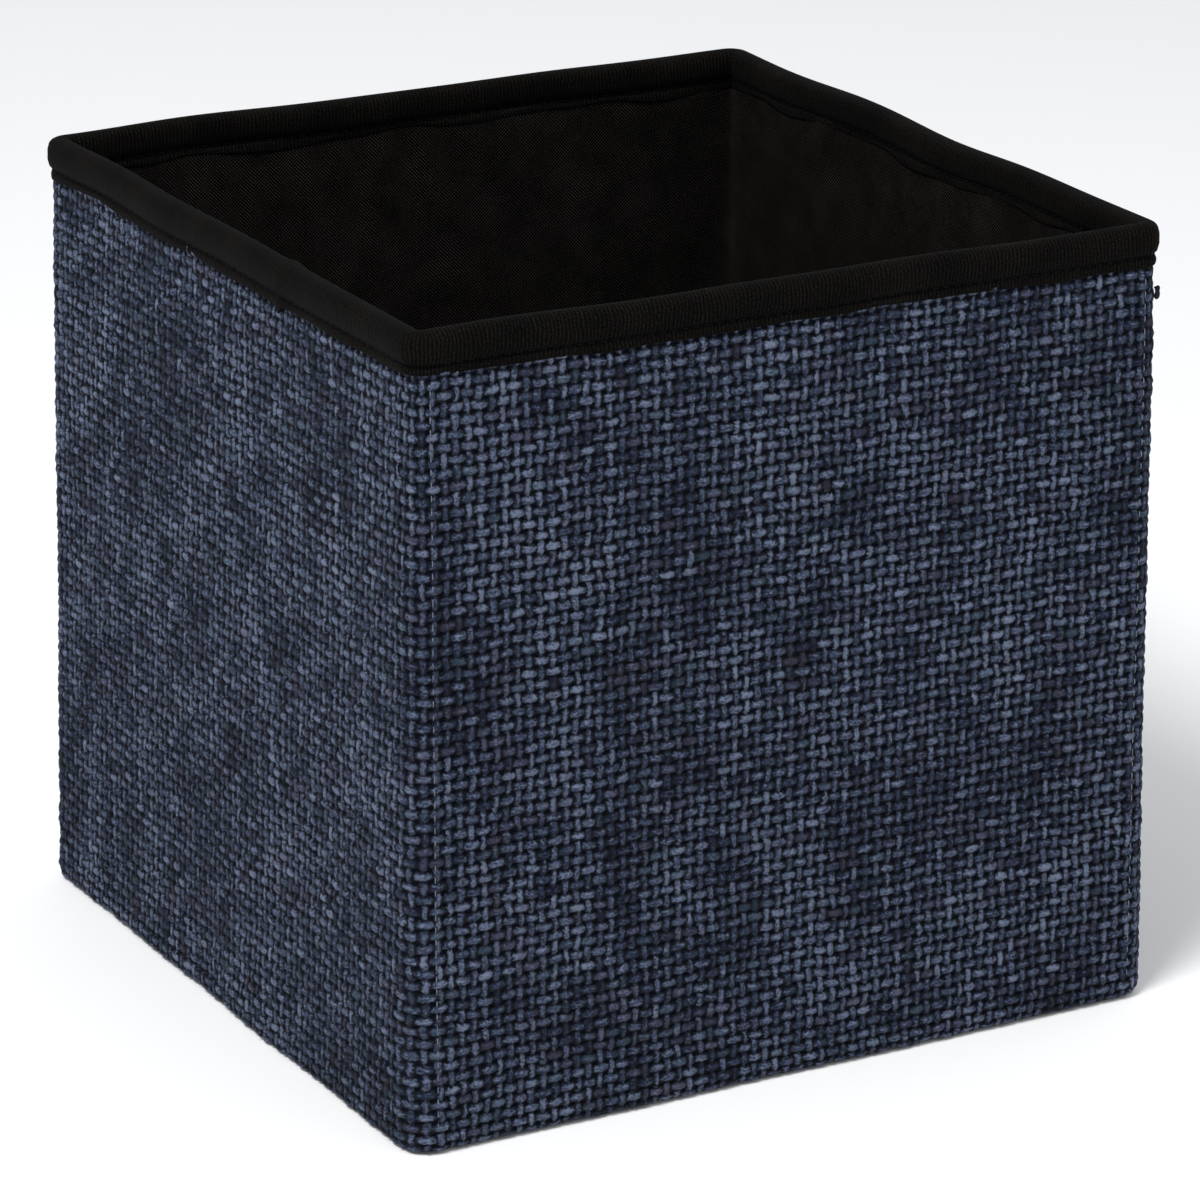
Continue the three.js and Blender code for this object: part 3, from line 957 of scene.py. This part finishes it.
def make_bottom():
    """The bottom cloth: the walls' weave goes on round the rounded edge and under the bin."""
    top = SEAM_Z - 0.15 * MM
    straight = top - TRAY_EDGE_R
    quarter = math.pi / 2 * TRAY_EDGE_R
    v = yarn_steps(SEAM_Z - straight - quarter - 3 * MM, top, WEFT, WEFT_PARTS, SEAM_Z)[::-1]
    run = top - v
    bend = np.clip((run - straight) / TRAY_EDGE_R, 0, math.pi / 2)
    past = np.maximum(run - straight - quarter, 0)
    depth = CLOTH_FACE + TRAY_EDGE_R * (1 - np.cos(bend)) + past
    z = np.maximum(top - run, TRAY_EDGE_R * (1 - np.sin(bend))) + 0.2 * MM * np.sin(bend)
    flat = 0 * TUCK
    s = yarn_steps(-CORE_X, ROUND - CORE_X, WARP, WARP_PARTS)
    ob = cloth_mesh(
        "bottom_edge_cloth",
        s,
        np.concatenate([v[0] + TUCK, v]),
        np.concatenate([z[0] + flat, z]),
        np.concatenate([CLOTH_FACE + TUCK, depth]),
        bend=np.concatenate([flat, bend]),
        weight=np.concatenate([flat, np.ones(len(v))]),
        flip=True,
    )
    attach(ob, "front_wall")


def make_underside():
    """The flat cloth under the bin, inside the strip that comes round its edge."""
    inset = CLOTH_IN + TRAY_EDGE_R + 1 * MM - BASE_OUT
    clear = 0.35 * MM
    ob = rounded_panel(
        "underside_cloth", HALF_X - inset, HALF_Y - inset, PANEL_CORNER_R,
        lambda x, y: clear + 0 * x, [], CLOTH, (WARP, WEFT), flip=True)
    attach(ob, "front_wall")
    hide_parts("bottom_outer_fabric")


def make_bottom_lining():
    """The lining on the bottom, turned up all round as far as the walls' foot."""
    low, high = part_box("bottom_lining")
    middle = (low.z + high.z) / 2
    turn_up = WALL_Z - 0.2 * MM
    edge = [(-0.3 * MM, middle + 0.3 * MM), (-0.6 * MM, turn_up)]
    ob = rounded_panel(
        "bottom_inner_lining", high.x, high.y, PANEL_CORNER_R,
        lambda x, y: middle + 0 * x, edge, LINING, DOT_PITCH)
    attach(ob, "front_wall")
    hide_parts("bottom_lining")


def make_insert_cover():
    """The loose bottom's cover: drawn over the board and turned under all round."""
    low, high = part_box("insert_cover")
    half, sag, tight_r = (high.z - low.z) / 2, 0.15 * MM, 1 * MM
    turned_under = 17 * MM
    turns = [math.pi / 2 * k / 4 for k in range(1, 9)]
    edge = [(-half * math.sin(a), high.z - half + half * math.cos(a)) for a in turns]
    edge += [(inset, low.z) for inset in (4 * MM, 9 * MM, 14 * MM, turned_under)]

    def level(x, y):
        return high.z - sag + sag * np.cos(x * 40) * np.cos(y * 33)

    ob = rounded_panel(
        "insert_cover_cloth", high.x - half, high.y - half, tight_r, level, edge, COVER, DOT_PITCH)
    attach(ob, "base_insert")
    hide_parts("insert_cover")


def corner_stitches(corner, s, body):
    """Thread dashes up a corner seam, at s round the bin."""
    z = np.arange(WALL_Z + 3 * MM, TAPE_Z - 2 * MM, STITCH_PITCH)
    s = np.full(len(z), s)
    spots = place(s, CLOTH_IN + 0.2 * MM, z)
    ahead = np.broadcast_to((0.0, 0.0, 1.0), (len(z), 3))
    _, _, nx, ny = plan(s)
    up = np.stack([nx, ny, 0 * nx], -1)
    name = f"{corner}_seam_stitches"
    ob = stitches(name, spots, ahead, np.cross(up, ahead), up, SEAM_THREAD, 2.4 * MM, 0.2 * MM)
    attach(ob, body)
    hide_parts(f"{corner}_seam_thread")


def make_corner_stitches():
    side = CORE_X + 0.8 * MM
    corner_stitches("front_left", -side, "front_wall")
    corner_stitches("front_right", side, "front_wall")
    corner_stitches("back_right", BACK_MID - side, "back_wall")
    corner_stitches("back_left", BACK_MID + side, "back_wall")


# The lap of the tape: its length, how proud its end stands, how deep it fades into the tape below it,
# and the part of the tape's outline that its hem follows
LAP, LAP_RISE, LAP_SUNK = 16 * MM, 0.75 * MM, 0.12 * MM
HEM = slice(1, 24)


def make_tape_join():
    """Where the tape's two ends lap on the left wall: a raised edge with a small point below it."""
    low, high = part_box("binding_tail")
    first = LEFT_MID - high.y
    past = np.linspace(0, LAP, 17)
    rise = LAP_RISE * (1 - smooth(past / (LAP - 1 * MM))) - LAP_SUNK
    point = (high.z - low.z) * np.exp(-(((past - 1 * MM) / (2.2 * MM)) ** 2))
    ob = tape_mesh("tape_join", first + past, TAPE_PROFILE, rise[None], point[None])
    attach(ob, "left_front_half")
    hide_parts("binding_tail")


def make_tape_join_shadow_line():
    """The hem at the lap's end, over the rim from the outer flap to the inside, a little bowed, drawn in
    near-black thread as a painted shadow line along the lap's edge.
    """
    _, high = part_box("binding_tail")
    depth, z, loose = TAPE_PROFILE[HEM].T
    bow = 2.2 * MM * np.sin(np.linspace(0, math.pi, len(depth))) - 0.2 * MM
    outer = depth < RIM_MIDDLE
    hang = 2.0 * MM * loose * outer
    depth = depth - 0.35 * MM * (1 - depth / RIM_MIDDLE)
    z = z + 0.3 * MM * smooth((z - STITCH_Z) / (TOP - STITCH_Z)) - hang
    path = tape_points(LEFT_MID - high.y + bow, depth, z, loose)
    # Painted shadow: near-black thread where the lap's edge only casts shade
    ob = tube("tape_join_shadow_line", path, 0.42 * MM, 8, THREAD)
    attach(ob, "left_front_half")


def make_yarn_end():
    """A loose end of yarn, knotted up just under the tape at the front right corner."""
    turn = np.linspace(0, 2.4 * math.pi, 26)
    s = CORE_X + ARC * 0.62 + 1.1 * MM * np.cos(turn)
    z = TAPE_Z - 11 * MM + 1.9 * MM * np.sin(turn)
    depth = CLOTH_IN - 0.9 * MM - 0.7 * MM * np.sin(turn * 0.8) ** 2 + 1.6 * MM * (turn > 7) * (turn - 7)
    ob = tube("loose_yarn_end", place(s, depth, z), 0.75 * MM, 8, YARN_END)
    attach(ob, "front_wall")


make_walls(make_open_corner_tabs())
make_corners()
make_boards()
make_bottom()
make_underside()
make_bottom_lining()
make_insert_cover()
make_corner_stitches()
make_tape_join()
make_tape_join_shadow_line()
make_yarn_end()
for slot in frame["nodes"]["insert_board"].material_slots:
    slot.material = BOARD

# ------------------------------------------------------- floor, light, camera


def make_floor():
    mesh = bpy.data.meshes.new("floor")
    far = 6.0
    corners = [(x * far, y * far, 0) for x, y in ((-1, -1), (1, -1), (1, 1), (-1, 1))]
    mesh.from_pydata(corners, [], [(0, 1, 2, 3)])
    n = Nodes("pale_floor")
    mesh.materials.append(n.finish(Base_Color=(0.90, 0.90, 0.90, 1), Roughness=0.8))
    floor = bpy.data.objects.new("floor", mesh)
    bpy.context.scene.collection.objects.link(floor)


def area_light(name, place_at, target, size, power):
    light = bpy.data.lights.new(name, "AREA")
    light.shape, light.size, light.energy = "DISK", size, power
    ob = bpy.data.objects.new(name, light)
    ob.location = place_at
    ob.rotation_euler = (Vector(target) - Vector(place_at)).to_track_quat("-Z", "Y").to_euler()
    bpy.context.scene.collection.objects.link(ob)


def make_camera():
    data = bpy.data.cameras.new("camera")
    data.sensor_width, data.lens = 36, 170.61
    cam = bpy.data.objects.new("camera", data)
    yaw, pitch, roll = (math.radians(a) for a in (-29.270, 19.254, 0.343))
    away = Vector((math.sin(yaw) * math.cos(pitch), -math.cos(yaw) * math.cos(pitch), math.sin(pitch)))
    cam.location = (-0.9855, -1.7677, 0.8421)
    cam.rotation_mode = "QUATERNION"
    level = (-away).to_track_quat("-Z", "Y")
    cam.rotation_quaternion = level @ Quaternion((0, 0, 1), roll)
    data.clip_start, data.clip_end = 0.05, 50
    bpy.context.scene.collection.objects.link(cam)
    bpy.context.scene.camera = cam


def make_world():
    world = bpy.data.worlds.new("studio")
    world.use_nodes = True
    world.node_tree.nodes["Background"].inputs[0].default_value = (0.95, 0.97, 1.0, 1)
    world.node_tree.nodes["Background"].inputs[1].default_value = 0.7
    bpy.context.scene.world = world


make_floor()
make_world()
make_camera()
BELOW_MIDDLE = (0, 0, 0.4 * TOP)
area_light("key", (-1.45, -0.85, 2.5), BELOW_MIDDLE, 1.0, 70)
area_light("fill", (1.8, -1.8, 1.6), BELOW_MIDDLE, 1.8, 10)
bpy.context.scene.view_settings.view_transform = "Standard"
